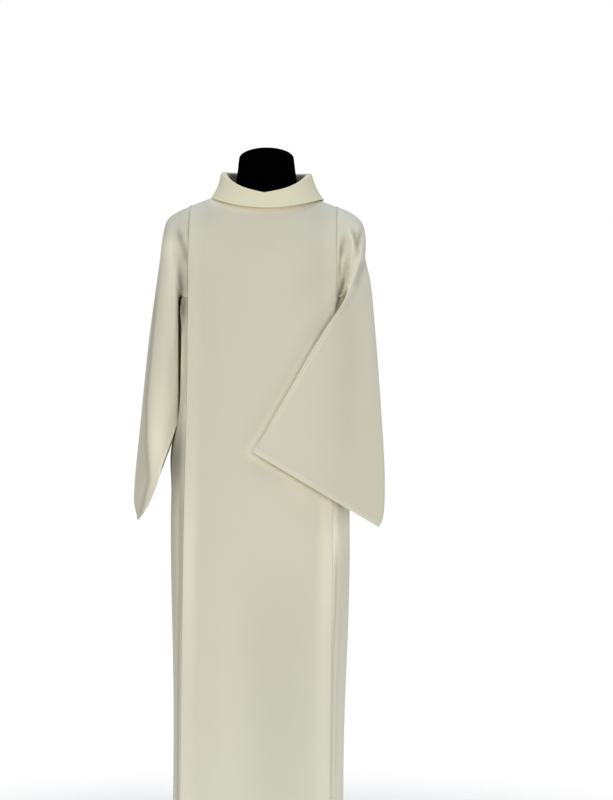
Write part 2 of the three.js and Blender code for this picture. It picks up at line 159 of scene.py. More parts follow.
def read(rows, key, column, at):
    """A column of a table where the key has the given values, on a smooth curve."""
    keys, values = rows[key], rows[column]
    slopes = np.empty_like(values)
    slopes[1:-1] = (values[2:] - values[:-2]) / (keys[2:] - keys[:-2])
    slopes[0] = (values[1] - values[0]) / (keys[1] - keys[0])
    slopes[-1] = (values[-1] - values[-2]) / (keys[-1] - keys[-2])
    at = np.clip(at, keys[0], keys[-1])
    i = np.clip(np.searchsorted(keys, at, side="right") - 1, 0, len(keys) - 2)
    span = keys[i + 1] - keys[i]
    s = (at - keys[i]) / span
    rise = s * s * (3 - 2 * s)
    bend = (1 - s) * slopes[i] - s * slopes[i + 1]
    return values[i] * (1 - rise) + values[i + 1] * rise + span * s * (1 - s) * bend


# ---------------------------------------------------------------- working in arrays


def points(x, y, z):
    return np.stack(np.broadcast_arrays(x, y, z), axis=-1).astype(float)


def bell(distance, width):
    return np.exp(-((distance / width) ** 2))


def ease(value, start, end):
    share = np.clip((value - start) / (end - start), 0, 1)
    return share * share * (3 - 2 * share)


def crowded(count, spots=(), reach=0.01, weight=8.0):
    """count steps from 0 to 1 that lie closer together around the given spots."""
    fine = np.linspace(0, 1, FINE_STEPS + 1)
    density = np.ones_like(fine)
    for spot in spots:
        density += weight * bell(fine - spot, reach)
    total = np.concatenate([[0], np.cumsum((density[1:] + density[:-1]) / 2)])
    return np.interp(np.linspace(0, total[-1], count + 1), total, fine)


def beside(a, b, path):
    """Offset of (a, b) from a path, positive on its right, and the share along it."""
    path = np.array(path, float)
    legs = np.linalg.norm(np.diff(path, axis=0), axis=1)
    nearest = np.full(np.shape(a), np.inf)
    offset, along = np.zeros(np.shape(a)), np.zeros(np.shape(a))
    for start, end, leg, before in zip(path[:-1], path[1:], legs, np.cumsum(legs) - legs):
        way = (end - start) / leg
        s = np.clip((a - start[0]) * way[0] + (b - start[1]) * way[1], 0, leg)
        off_a, off_b = a - start[0] - s * way[0], b - start[1] - s * way[1]
        distance = np.hypot(off_a, off_b)
        side = np.sign(off_a * way[1] - off_b * way[0])
        closer = distance < nearest
        nearest = np.where(closer, distance, nearest)
        offset = np.where(closer, distance * np.where(side == 0, 1, side), offset)
        along = np.where(closer, (before + s) / legs.sum(), along)
    return offset, along


def crease(a, b, path, width, depth, fade=0.3):
    """Height of a soft ridge, or trough if depth is negative, along a path in (a, b).
    It fades over a share of its length at both ends."""
    offset, along = beside(a, b, path)
    return depth * bell(offset, width) * ease(along, 0, fade) * ease(1 - along, 0, fade)


def face_normals(grid):
    """Outward unit normals of a grid of points, whose rows run along and columns across."""
    across = np.gradient(grid, axis=1)
    along = np.gradient(grid, axis=0)
    if np.allclose(grid[:, 0], grid[:, -1], atol=1e-6):
        seam = (grid[:, 1] - grid[:, -2]) / 2
        across[:, 0] = across[:, -1] = seam
    normal = np.cross(across, along)
    length = np.linalg.norm(normal, axis=2, keepdims=True)
    return normal / np.maximum(length, 1e-9)


def pushed(grid, height, level=""):
    """The grid moved out by a height, and not at all along the axes named in level."""
    normal = face_normals(grid)
    for axis in level:
        normal[..., "xyz".index(axis)] = 0
    normal /= np.maximum(np.linalg.norm(normal, axis=2, keepdims=True), 1e-9)
    return grid + normal * np.asarray(height)[..., None]


def lengths(grid, axis):
    """Distance run along an axis of a grid, at the middle of the other axis."""
    steps = np.linalg.norm(np.diff(grid, axis=axis), axis=2)
    line = steps.mean(axis=1 - axis)
    return np.concatenate([[0], np.cumsum(line)])


# ---------------------------------------------------------------- meshes


def finished(name, bm, slot=None, replaced=(), smooth=True):
    """The object of a mesh made in millimetres, riding on the part's one body."""
    bmesh.ops.scale(bm, vec=Vector((MM, MM, MM)), verts=bm.verts)
    mesh = bpy.data.meshes.new(name)
    bm.to_mesh(mesh)
    bm.free()
    mesh.polygons.foreach_set("use_smooth", [smooth] * len(mesh.polygons))
    piece = bpy.data.objects.new(name, mesh)
    bpy.context.scene.collection.objects.link(piece)
    if slot:
        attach(piece, "root")
    if replaced:
        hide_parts(*replaced)
    return piece


def cloth(name, grid, replaced, doubled_and_highlight, painted_light_and_shade, ring=False):
    """A sheet of cloth through a grid of points, with its wall inside them. Its UV map
    "cut" is the place on the cloth in metres. One attribute marks where seam allowances,
    hems and the doubled collar lie behind it and where highlights are painted on; the
    other paints shade into its colour, and painted light where it is below 0."""
    rows, columns = grid.shape[:2]
    bm = bmesh.new()
    cut = bm.loops.layers.uv.new("cut")
    backings = []
    for layer, values in (("doubled_and_highlight", doubled_and_highlight), ("painted_light_and_shade", painted_light_and_shade)):
        values = np.broadcast_to(values, (rows, columns)).ravel()
        backings.append((bm.verts.layers.float.new(layer), values))
    bmesh.ops.create_grid(bm, x_segments=columns - 1, y_segments=rows - 1, size=0.5)
    across = lengths(grid, 1) * MM
    along = lengths(grid, 0) * MM
    for face in bm.faces:
        for loop in face.loops:
            row, column = divmod(loop.vert.index, columns)
            loop[cut].uv = (across[column], along[row])
    for i, (vert, place) in enumerate(zip(bm.verts, grid.reshape(-1, 3))):
        vert.co = place
        for layer, values in backings:
            vert[layer] = values[i]
    if ring:
        bmesh.ops.remove_doubles(bm, verts=bm.verts, dist=0.001)
    piece = finished(name, bm, "alb_cloth", [replaced])
    wall = piece.modifiers.new("Wall", "SOLIDIFY")
    wall.thickness = WALL * MM
    wall.offset = -1
    edge = piece.modifiers.new("Turned edge", "BEVEL")
    edge.width = EDGE_ROUND * MM
    edge.segments = 2
    edge.limit_method = "ANGLE"
    edge.angle_limit = math.radians(60)
    return piece


# ---------------------------------------------------------------- body shapes


def body(z, column):
    return read(BODY, "z", column, z)


def panel_depth(panel, x, z):
    middle, seam = body(z, panel["middle"]), body(z, panel["seam"])
    share = np.minimum(np.abs(x) / PANEL_HALF, 1.2)
    return seam + (middle - seam) * (1 - share**PANEL_CROWN)


def top_edge(panel, x):
    """Depth and height of a panel's upper edge: the neckline, then the shoulder."""
    out = np.abs(x) / NECK_HALF
    round_ = np.sqrt(np.maximum(1 - out * out, 0))
    neck = NECK_SIDE_Z - panel["drop"] * round_**1.5
    shoulder = NECK_SIDE_Z - SHOULDER_SLOPE * (np.abs(x) - NECK_HALF)
    depth = np.maximum(panel["depth"] * round_, SEAM / 2)
    return depth, np.where(out < 1, neck, shoulder) - SHOULDER_SKEW * x


def chest_point(panel, x, turn):
    """A point above the chest. The corners of the neckline soften away below it."""
    chest = panel_depth(panel, x, CHEST_Z)
    depth, top = top_edge(panel, x)
    offsets = np.linspace(-NECK_SOFTENING, NECK_SOFTENING, 13)
    around = [top_edge(panel, x + offset) for offset in offsets]
    soft_depth, soft_top = np.mean(around, axis=0)
    sharp = ease(turn, 0.78, 1.0)
    inside = ease(PANEL_HALF - np.abs(x), 0, NECK_SOFTENING) * (1 - sharp)
    depth = depth + (soft_depth - depth) * inside
    top = top + (soft_top - top) * inside
    angle = turn * math.pi / 2
    y = depth + (chest - depth) * np.cos(angle)
    z = CHEST_Z + (top - CHEST_Z) * np.sin(angle)
    return points(x + SHOULDER_LEAN, panel["facing"] * y, z)


def body_point(panel, x, z):
    return points(x + body(z, "lean"), panel["facing"] * panel_depth(panel, x, z), z)


def column_x(step, turn):
    """Columns are even below the chest and gathered to the neckline at the top."""
    out = np.abs(step) - NECK_STEPS
    even = step / PANEL_STEPS * PANEL_HALF
    neck = NECK_HALF * np.sin(np.clip(step / (2 * NECK_STEPS), -0.5, 0.5) * math.pi)
    shoulder = NECK_HALF + out / (PANEL_STEPS - NECK_STEPS) * (PANEL_HALF - NECK_HALF)
    at_top = np.where(out <= 0, neck, np.sign(step) * shoulder)
    return even + (at_top - even) * ease(turn, 0, 1)


def side_point(side, share, z):
    """A point of a side panel, share 0 at the front seam and 1 at the back seam."""
    ahead, behind = body(z, "frontSeam"), body(z, "backSeam")
    angle = (share - 0.5) * math.pi
    cosine = np.maximum(np.cos(angle), 0)
    bulge = np.maximum((body(z, "side") - PANEL_HALF - SEAM) * cosine**0.8, 0)
    fold = body(z, "flute") * np.sin(2 * math.pi * share) ** 2 * cosine
    y = (behind - ahead) / 2 + (behind + ahead) / 2 * np.sin(angle)
    return points(side * (PANEL_HALF + SEAM + bulge - fold) + body(z, "lean"), y, z)


CORNER = 1 / 3  # share of the armhole's outline on each panel
ARC_SHARE = 0.85  # of that, the part above the chest


def armhole_point(side, around):
    """The armhole's outline: the front panel's edge, the side panel's top and the
    back panel's edge."""
    share = np.clip((around - CORNER) / (1 - 2 * CORNER), 0, 1)
    across = side_point(side, share, UNDERARM_Z) + np.array([0, 0, SEAM])
    x = np.full_like(around, side * (PANEL_HALF + SEAM))
    outline = across
    for panel, near in ((FRONT, around <= CORNER), (BACK, around >= 1 - CORNER)):
        down = np.minimum(np.minimum(around, 1 - around) / CORNER, 1)
        arc = chest_point(panel, x, np.maximum(1 - down / ARC_SHARE, 0))
        below = np.maximum(down - ARC_SHARE, 0) / (1 - ARC_SHARE)
        low = body_point(panel, x, CHEST_Z + (UNDERARM_Z + SEAM - CHEST_Z) * below)
        edge = np.where((down <= ARC_SHARE)[..., None], arc, low)
        outline = np.where(near[..., None], edge, outline)
    return outline


def section(around, inner, outer):
    """Cosine and sine of the way round a sleeve, evenly spaced. Powers under 1 make the
    half at the underarm (inner) and the half at the shoulder fold (outer) squarer."""
    angle = np.linspace(0, 2 * math.pi, FINE_STEPS + 1)
    cosine, sine = np.cos(angle), np.sin(angle)
    power = np.where(cosine < 0, inner, outer)
    cosine = np.sign(cosine) * np.abs(cosine) ** power
    sine = np.sign(sine) * np.abs(sine) ** power
    run = np.cumsum(np.hypot(np.diff(cosine, prepend=1), np.diff(sine, prepend=0)))
    run /= run[-1]
    return np.interp(around, run, cosine), np.interp(around, run, sine)


def sleeve_grid(rows, side, t, around, powers):
    """The points of a sleeve, from the table of its rings and the powers of its section."""
    t, around = np.meshgrid(t, around, indexing="ij")

    def at(column):
        return read(rows, "t", column, t)

    cosine, sine = section(around, *powers)
    share = ((1 + cosine) / 2)[..., None]
    top = points(side * at("topOut"), at("topY"), at("topZ"))
    under = points(side * at("underOut"), at("underY"), at("underZ"))
    thick = at("half") * sine
    turn = np.radians(at("turn"))
    grid = under + (top - under) * share
    fuller = 1 + 0.9 * np.maximum(cosine, 0) * ease(t, 0.84, 1)
    bow = np.where(sine > 0, sine**2 * fuller, 0.35 * sine**2)
    grid[..., 0] -= side * (thick * np.sin(turn) + at("bow") * bow)
    grid[..., 1] -= thick * np.cos(turn)
    own = at("armhole")[..., None]
    return grid * (1 - own) + armhole_point(side, around) * own


# ---------------------------------------------------------------- front and back

HEM_DEPTH = 32.0  # of the turned hem at the foot of the alb
CUFF_HEM = 10.0  # of the narrow hem at the cuffs


def allowance(distance, width=36):
    """Where a seam allowance lies, at a distance from its seam."""
    return 1 - ease(distance, 0.45 * width, width)


def rolled(distance, depth=0.8, width=2.0):
    """How far an edge sinks towards a seam, at a distance from it."""
    return -depth * bell(distance, width)


def hem_relief(distance, depth):
    """A turned hem stands a little proud, with a shallow line where it is sewn."""
    proud = 0.5 * (1 - ease(distance, depth - 1.5, depth + 1.5))
    return proud - 0.7 * bell(distance - depth, 1.3)


def slit_shade(x, z):
    """The deep shade where the swung sleeve leaves the body below the armhole."""
    slit = [(147, 1216), (151, 1240), (156, 1254), (157, 1268), (162, 1285), (168, 1312)]
    depth = 5.2 + 3.5 * bell(z - 1258, 12) - 2.4 * bell(z - 1288, 12)
    return depth * crease(x, z, slit, 4.0, 1.0, 0.4)


def panel_piece(name, panel, folds, painted_light_and_shade, replaced):
    """The front or the back. Its folds, and its painted shade and light, are formulas of the place
    on the panel.
    """
    across = crowded(PANEL_ACROSS, (0, 1), reach=0.014, weight=7)
    step = (2 * across - 1) * PANEL_STEPS * -panel["facing"]
    hem = HEM_DEPTH / (CHEST_Z - HEM_Z)
    low = HEM_Z + (CHEST_Z - HEM_Z) * crowded(PANEL_LOW, (hem,), reach=0.002, weight=25)
    turn = crowded(PANEL_TOP, (1,), reach=0.01, weight=8)[1:]
    step_low, z_low = np.meshgrid(step, low)
    step_top, turn_top = np.meshgrid(step, turn)
    grid = np.concatenate(
        [
            body_point(panel, column_x(step_low, 0), z_low),
            chest_point(panel, column_x(step_top, turn_top), turn_top),
        ]
    )
    to_seam = (PANEL_STEPS - np.abs(step)) / PANEL_STEPS * PANEL_HALF
    run = lengths(grid, 0)
    to_shoulder = (run[-1] - run)[:, None]
    height = folds(grid[..., 0], grid[..., 2]) + hem_relief(grid[..., 2] - HEM_Z, HEM_DEPTH)
    height = height * ease(to_seam, 0, 12) * ease(to_shoulder, 0, 12)
    grid = pushed(grid, height)
    on_shoulder = np.abs(step) > NECK_STEPS
    grid = pushed(grid, np.where(on_shoulder, rolled(to_shoulder), 0), level="y")
    x, z = grid[..., 0], grid[..., 2]
    # Seam allowances lighten the cloth beside the seams, more low down, where this is painted
    # light on the panel's edges.
    allowance_and_painted_light = 0.4 + 1.0 * bell(z - 720, 190)
    doubled_and_highlight = np.maximum(allowance(to_seam) * allowance_and_painted_light, 0.8 * allowance(z - HEM_Z, HEM_DEPTH + 4))
    doubled_and_highlight = np.maximum(doubled_and_highlight, np.where(on_shoulder, 0.5 * allowance(to_shoulder, 16), 0))
    grid = pushed(grid, rolled(to_seam), level="x")
    return cloth(name, grid, replaced, doubled_and_highlight, painted_light_and_shade(x, z))


def front_folds(x, z):
    height = crease(x, z, [(-78, 760), (-88, 480), (-96, 200), (-98, 60)], 30, 3.0, 0.3)
    height += crease(x, z, [(-30, 640), (-34, 380), (-30, 60)], 24, -2.4, 0.35)
    height += crease(x, z, [(36, 720), (40, 430), (46, 60)], 30, 2.6, 0.35)
    height += crease(x, z, [(96, 560), (102, 330), (106, 60)], 22, -2.6, 0.35)
    return height + crease(x, z, [(-128, 1230), (-120, 1150), (-104, 1050)], 18, -1.6, 0.4)


# The edge of the swung sleeve on the front: down its underarm, then along the cuff.
SWUNG_OUTLINE = [(148, 1220), (108, 1161), (71, 1096), (35, 1033), (-24, 938), (241, 780)]
# The collar's lower edge on the front, from the wearer's right to the left.
COLLAR_OUTLINE = [
    (-106, 1476), (-58, 1458), (-25, 1453), (0, 1452), (25, 1453), (58, 1458), (106, 1476),
]


def front_painted_light_and_shade(x, z):
    """Painted shade low in the middle and a little at the chest, and painted light beside the
    swung sleeve and below the collar, which throw light on it."""
    low = 0.8 * bell(x - 30, 80) * (1 - ease(z, 520, 800))
    chest = 0.45 * bell(x - 115, 45) * bell(z - 1310, 110)
    chest += 0.6 * bell(np.abs(x) - 125, 35) * bell(z - 1440, 30)
    chest += 0.5 * bell(x - 10, 90) * ease(z, 1320, 1400)
    # Painted light along the swung sleeve's edge and cuff and below the collar's lower edge.
    beyond, along = beside(x, z, SWUNG_OUTLINE)
    cuff = ease(along, 0.5, 0.56)
    lifted = (1.3 + 0.9 * cuff) * bell(beyond - 4, 9) + (1.4 - cuff) * bell(beyond, 4.5)
    lifted += 1.3 * ease(along, 0.56, 0.76) * bell(beyond - 17, 22)
    lifted += 0.8 * ease(along, 0.75, 0.9) * bell(beyond - 4, 9)
    lifted *= ease(along, 0.02, 0.15)
    lifted += 2.3 * bell(beside(x, z, COLLAR_OUTLINE)[0] - 5, 9)
    return low + chest + slit_shade(x, z) - lifted


def back_folds(x, z):
    height = crease(x, z, [(-62, 900), (-70, 560), (-84, 60)], 28, 3.2, 0.35)
    height += crease(x, z, [(-6, 820), (-10, 480), (-14, 60)], 26, -3.0, 0.35)
    height += crease(x, z, [(54, 960), (62, 600), (70, 60)], 30, 3.4, 0.4)
    height += crease(x, z, [(118, 700), (120, 420), (124, 60)], 20, -2.4, 0.35)
    height += crease(x, z, [(-120, 1250), (-104, 1160), (-80, 1090)], 18, -2.0, 0.4)
    return height + crease(x, z, [(122, 1260), (110, 1180), (88, 1110)], 16, -1.8, 0.4)


def back_painted_shade(x, z):
    # Painted shade, low in the middle of the back.
    return 0.5 * bell(x + 8, 110) * (1 - ease(z, 480, 760))


def side_piece(name, side, folds, painted_light_and_shade, replaced):
    """A side panel. side is -1 for the wearer's right and 1 for the left."""
    share = crowded(SIDE_ACROSS, (0, 1), reach=0.014, weight=7)
    if side < 0:
        share = 1 - share
    hem = HEM_DEPTH / (UNDERARM_Z - HEM_Z)
    z = HEM_Z + (UNDERARM_Z - HEM_Z) * crowded(SIDE_UP, (hem, 1), reach=0.002, weight=20)
    share, z = np.meshgrid(share, z)
    grid = side_point(side, share, z)
    width = body(z, "frontSeam") + body(z, "backSeam")
    to_seam = np.minimum(share, 1 - share) * width * 1.15
    bulge = np.abs(grid[..., 0] - body(z, "lean")) - PANEL_HALF - SEAM
    grid[..., 0] += side * folds(share * width, bulge, z)
    height = hem_relief(z - HEM_Z, HEM_DEPTH) * ease(to_seam, 0, 12)
    grid = pushed(grid, height + rolled(UNDERARM_Z - z, 0.2), level="z")
    doubled_and_highlight = np.maximum(0.4 * allowance(to_seam, 18), 0.8 * allowance(z - HEM_Z, HEM_DEPTH + 4))
    shade = painted_light_and_shade(grid[..., 0], share * width, z)
    return cloth(name, pushed(grid, rolled(to_seam), level="x"), replaced, doubled_and_highlight, shade)


def right_side_folds(behind, bulge, z):
    """Pressed in beside the hanging sleeve, and fuller below its cuff."""
    pressed = ease(z, 1000, 1090) * (1 - ease(z, 1205, 1264))
    released = 6 + 10 * ease(1250 - z, 0, 120)
    height = -0.86 * bulge * (1 - ease(behind - released, 0, 26)) * pressed
    height += 0.4 * bulge * bell(z - 940, 60) + 6 * bell(behind - 26, 15) * bell(z - 1235, 32)
    height += crease(behind, z, [(64, 800), (70, 500), (66, 60)], 15, -5, 0.35)
    height += crease(behind, z, [(118, 1230), (124, 980), (130, 640)], 14, -4, 0.35)
    return height + crease(behind, z, [(150, 760), (158, 420), (166, 60)], 16, 4, 0.35)


def right_side_painted_light_and_shade(x, behind, z):
    """Painted shade over the whole panel, more beside the front seam, in the shade of the hanging
    sleeve and its cuff and at the underarm, and painted light in a narrow strip beside the
    sleeve's inner edge.
    """
    seam = 2.9 * bell(behind - 10 + 4 * ease(z, 450, 700), 9) * (1 - ease(z, 800, 900))
    cuff = 4.5 * bell(z - 928, 75) * (1 - 0.45 * bell(behind, 9)) * (1 - ease(behind, 30, 110))
    underarm = 2.4 * bell(x + 164, 8) * bell(z - 1262, 32)
    underarm += 4.5 * bell(x + 173, 8) * bell(z - 1240, 34) * (1 - ease(behind, 40, 70))
    underarm -= 2.5 * bell(x + 177, 4) * ease(z, 1080, 1120) * (1 - ease(z, 1180, 1200))
    return 0.7 + seam + cuff + underarm


def left_side_folds(behind, bulge, z):
    """Pressed in where the swung sleeve leaves the body."""
    pressed = ease(z, 1110, 1190) * (1 - ease(z, 1250, 1264))
    height = -0.9 * bulge * (1 - ease(behind, 12, 50)) * pressed
    height += crease(behind, z, [(52, 1255), (64, 1120), (70, 860)], 12, -4.5, 0.3)
    height += crease(behind, z, [(112, 1255), (104, 1060), (100, 700)], 14, -5, 0.3)
    height += crease(behind, z, [(84, 780), (92, 440), (88, 60)], 17, 5, 0.35)
    return height + crease(behind, z, [(146, 980), (152, 560), (160, 60)], 15, -4, 0.35)


def left_side_painted_light_and_shade(x, behind, z):
    """Painted shade beside the front seam and in the slit, and painted light over the panel, more
    below the swung sleeve's cuff and at the underarm."""
    seam = 2.6 * bell(behind - 5 - 5 * ease(z, 500, 640), 6) * (1 - ease(z, 660, 780))
    lit = 0.4 + 1.0 * bell(z - 770, 60) + 2.5 * bell(x - 168, 5) * ease(z, 1240, 1255)
    return slit_shade(x, z) * (1 - ease(behind, 10, 40)) + seam - lit


front = panel_piece("front_cloth", FRONT, front_folds, front_painted_light_and_shade, "front_panel")
back = panel_piece("back_cloth", BACK, back_folds, back_painted_shade, "back_panel")
side_right = side_piece(
    "right_side_cloth", -1, right_side_folds, right_side_painted_light_and_shade, "side_panel_right"
)
side_left = side_piece("left_side_cloth", 1, left_side_folds, left_side_painted_light_and_shade, "side_panel_left")

# ---------------------------------------------------------------- sleeves


def facing(around, middle):
    """1 on the front (middle 0.25) or the back (0.75) of a sleeve, fading at its folds."""
    return ease(0.25 - np.abs(around - middle), 0.0, 0.06)


def sleeve_piece(name, rows, side, folds, painted_light_and_shade, replaced, powers):
    """A sleeve. Its folds are the same height in front and behind."""
    t = crowded(SLEEVE_DOWN, (0, 0.986), reach=0.008, weight=6) ** 1.4
    around = crowded(SLEEVE_AROUND, (0.25,), reach=0.12, weight=1.2)
    if side < 0:
        around = 1 - around
    grid = sleeve_grid(rows, side, t, around, powers)
    run = lengths(grid, 0)
    to_cuff = np.linalg.norm(grid - grid[-1:], axis=2)
    inside = ease(run, 0, 6)[:, None]
    grid = pushed(grid, hem_relief(to_cuff, CUFF_HEM) * inside)
    height = folds(grid[..., 0], grid[..., 2]) * inside
    grid[..., 1] -= height * (facing(around, 0.25) - facing(around, 0.75))
    hemmed = 0.35 * allowance(to_cuff, CUFF_HEM + 3)
    # The armhole seam allowance and the cuff's hem lighten the cloth; a painted highlight runs
    # along the cuff's edge.
    doubled_and_highlight = np.maximum(0.4 * allowance(run, 18)[:, None], hemmed) + 0.9 * bell(to_cuff, 2.5)
    shade = painted_light_and_shade(grid[..., 0], grid[..., 2], run[:, None])
    grid = pushed(grid, rolled(run)[:, None], level="x")
    return cloth(name, grid, replaced, doubled_and_highlight, shade, ring=True)


CREASE_SHADE = 0.3  # painted shade for each millimetre of a crease's depth, painted light for each of a ridge's height

# Outside this line the hanging sleeve turns back to its outer edge.
TURN_LINE = [
    (-216, 1400), (-221, 1322), (-236, 1175), (-248, 1048), (-248, 964), (-243, 902),
    (-242, 879), (-252, 843), (-262, 806),
]


def hanging_creases(x, z):
    seamward = [(-185, 1422), (-182, 1402), (-176, 1384), (-168, 1368), (-165, 1348), (-161, 1322)]
    height = crease(x, z, seamward, 5.5, -7, 0.3)
    height += crease(x, z, [(-185, 1350), (-179, 1308), (-176, 1262), (-177, 1215)], 6, -4, 0.4)
    height += crease(x, z, [(-206, 1424), (-199, 1370), (-194, 1280)], 9, 2, 0.45)
    height += crease(x, z, [(-193, 1375), (-190, 1350), (-189, 1318)], 3.5, -1.5, 0.4)
    height += crease(x, z, [(-162, 1400), (-163, 1350), (-164, 1290)], 5, 1.5, 0.4)
    height += crease(x, z, [(-206, 905), (-222, 860), (-244, 815)], 9, -2.4, 0.35)
    return height + crease(x, z, [(-192, 1190), (-196, 1100), (-200, 1020)], 8, -2.6, 0.4)


def hanging_folds(x, z):
    """Turned back outside the turn line, with a soft ridge down the middle."""
    offset, along = beside(x, z, TURN_LINE)
    turned_back = 17 * ease(offset, 0, 30) * ease(along, 0.05, 0.5) * ease(1 - along, 0, 0.1)
    ridge = 2.5 * bell(offset + 6, 9) * ease(along, 0.3, 0.7)
    ridge += crease(x, z, [(-199, 1110), (-209, 985), (-226, 880)], 24, 5.0, 0.4)
    return hanging_creases(x, z) + ridge - turned_back


def hanging_painted_light_and_shade(x, z, run):
    """Painted shade outside the turn line, at the shoulder, at the underarm and in the creases,
    and painted light on the ridge beside the turn line, below the shoulder, down the sleeve and on
    the ridges."""
    offset, along = beside(x, z, TURN_LINE)
    outside = (2.5 * ease(offset, -3, 5) - 1.6 * ease(offset, 4, 15)) * ease(along, 0.05, 0.3)
    ridge = 2.0 * bell(offset + 22, 20) * ease(z, 830, 900) * (1 - ease(z, 910, 1150))
    upper = 1.0 * ease(z, 1370, 1410) - 0.25 * ease(run, 100, 240)
    upper -= 0.9 * bell(x + 205, 18) * bell(z - 1310, 70)
    upper -= 1.6 * bell(x + 208, 10) * bell(z - 1370, 32)
    inner = 3.2 * ease(x, -190, -178) * ease(z, 1262, 1285) * (1 - ease(z, 1270, 1420))
    inner += 1.8 * ease(x, -172, -166) * bell(z - 1262, 14)
    inner -= 2.0 * ease(x, -184, -178) * (1 - ease(z, 1235, 1262))
    inner += crease(x, z, [(-182, 1335), (-178, 1300), (-174, 1272), (-171, 1250)], 4, 1.2, 0.4)
    return outside - ridge + upper + inner - CREASE_SHADE * hanging_creases(x, z)


# The swung sleeve is folded over itself from the underarm up to the shoulder point.
FOLD_LINE = [
    (134, 1200), (150, 1230), (164, 1256), (178, 1284), (189, 1313), (200, 1346),
    (206, 1380), (209, 1416),
]
# The seam under the arm, just inside the swung sleeve's slanted edge.
UNDERARM_STITCH = [(139, 1198), (108, 1146), (70, 1080), (20, 992)]


def swung_creases(x, z):
    height = crease(x, z, [(183, 1418), (190, 1391), (196, 1366), (197, 1342)], 3.5, -9, 0.4)
    height += crease(x, z, [(205, 1412), (199, 1389), (196, 1366)], 3.2, -9, 0.4)
    height += crease(x, z, [(174, 1418), (187, 1380), (189, 1345), (180, 1310)], 5.0, 5.5, 0.35)
    height += crease(x, z, [(167, 1402), (164, 1366), (162, 1340)], 6.0, -6.5, 0.4)
    height += crease(x, z, [(177, 1356), (173, 1328), (165, 1296), (159, 1270)], 4.5, -4.5, 0.35)
    height += crease(x, z, [(168, 1390), (167, 1350), (163, 1310)], 4.0, 2.0, 0.35)
    return height + crease(x, z, [(195, 1424), (198, 1408), (200, 1396)], 5.0, 3.0, 0.35)


def swung_folds(x, z):
    """Turned back along its fold and drawn in where it leaves the body."""
    offset, along = beside(x, z, FOLD_LINE)
    up = ease(1 - along, 0.0, 0.5)
    deep = 13 - 8 * ease(along, 0.3, 0.7)
    turned_back = 3 * ease(-offset, 1, 9) + deep * ease(-offset, 7, 14)
    turned_back *= 1 - 0.8 * ease(-offset, 16, 46)
    height = -(turned_back + 3 * ease(-offset, -1, 5)) * up * ease(along, 0.05, 0.4)
    slit = [(150, 1200), (154, 1246), (157, 1266), (162, 1286), (168, 1308)]
    height += crease(x, z, slit, 5.5, -6, 0.35) * ease(z, 1225, 1245)
    height += crease(x, z, [(186, 1270), (178, 1130), (166, 960)], 22, -4.0, 0.35)
    height += crease(x, z, [(214, 1290), (218, 1130), (206, 930)], 20, 4.0, 0.4)
    stitched = 1.4 * bell(beside(x, z, UNDERARM_STITCH)[0], 1.8) * ease(z, 985, 1010)
    return height + swung_creases(x, z) - stitched


def swung_painted_light_and_shade(x, z, run):
    """Painted light along the fold and the stitched edge, painted shade in a soft band down the
    middle of the sleeve, over its outer half, beside the fold, at the armhole and in its creases."""
    offset, along = beside(x, z, FOLD_LINE)
    fold = 1.0 * bell(offset + 6, 7) + 1.6 * bell(offset, 3) - 0.7 * bell(offset - 13, 8)
    fold *= ease(along, 0.05, 0.3) * ease(1 - along, 0, 0.1)
    fold += 2.2 * bell(offset + 7, 4) * bell(z - 1268, 14)
    stitch = beside(x, z, UNDERARM_STITCH)[0]
    fold += (0.8 * bell(stitch, 2) + 0.9 * bell(stitch - 7, 2.5)) * ease(z, 985, 1010)
    band = 0.45 * crease(x, z, [(190, 1290), (182, 1130), (166, 900)], 22, 1.0, 0.3)
    broad = 0.6 * ease(x, 70, 180) * ease(run, 60, 200)
    seam = crease(x, z, [(163, 1388), (161, 1362), (159, 1331), (157, 1300)], 3, 3.0, 0.35)
    behind = crease(x, z, [(208, 1352), (205, 1331), (195, 1300), (192, 1276)], 7, 1.6, 0.3)
    shade = seam + behind + slit_shade(x, z)
    return broad - fold + band + shade - CREASE_SHADE * swung_creases(x, z)


HANGING_POWERS = (0.5, 0.85)  # how square the sleeve's section is at the underarm and the fold
SWUNG_POWERS = (0.8, 0.85)
sleeve_right = sleeve_piece(
    "right_sleeve_cloth",
    HANGING_SLEEVE,
    -1,
    hanging_folds,
    hanging_painted_light_and_shade,
    "sleeve_right",
    HANGING_POWERS,
)
sleeve_left = sleeve_piece(
    "left_sleeve_cloth", SWUNG_SLEEVE, 1, swung_folds, swung_painted_light_and_shade, "sleeve_left", SWUNG_POWERS
)

# ---------------------------------------------------------------- collar

# The fold along the collar's top, and the edge that it falls to: reach to the sides, the
# front and the back, height at the sides, and how far the front and the back drop or rise.
FOLD = {"side": 95, "front": 88, "back": 78, "sideZ": 1536.5, "frontDrop": 47.8, "backRise": 6}
FALL = {"side": 120, "front": 117, "sideZ": 1480, "frontDrop": 28, "backDrop": 63, "clear": 5}
FALL_SHIFT = 1.0  # of the lower edge towards the wearer's left
COLLAR_SKEW = 2.2  # how far the left end of the collar sits below the middle
FRONT_DIP = 2.2  # of the fold in the middle of the front
FOLD_RADIUS = {"front": 3.0, "rest": 7.0}
FOLD_RISE = {"front": 3.0, "rest": 4.0}
STAND_GAP = 1.3  # between the neckline and the part of the collar that stands inside it
FALL_BOW = {"front": -1.5, "side": -3.5, "back": 5.0}  # how far the falling part bows out


def above_back(x, z, clear):
    """A point of the back panel's face at a height, moved out by a clearance."""

    def at(dx, dz):
        rise = (z + dz - CHEST_Z) / (top_edge(BACK, x + dx)[1] - CHEST_Z)
        return chest_point(BACK, x + dx, np.arcsin(np.minimum(rise, 1)) * 2 / math.pi)

    outwards = np.cross(at(-1, -8) - at(1, -8), at(0, -8) - at(0, -12))
    outwards /= np.linalg.norm(outwards, axis=-1, keepdims=True)
    return at(0, 0) + outwards * clear


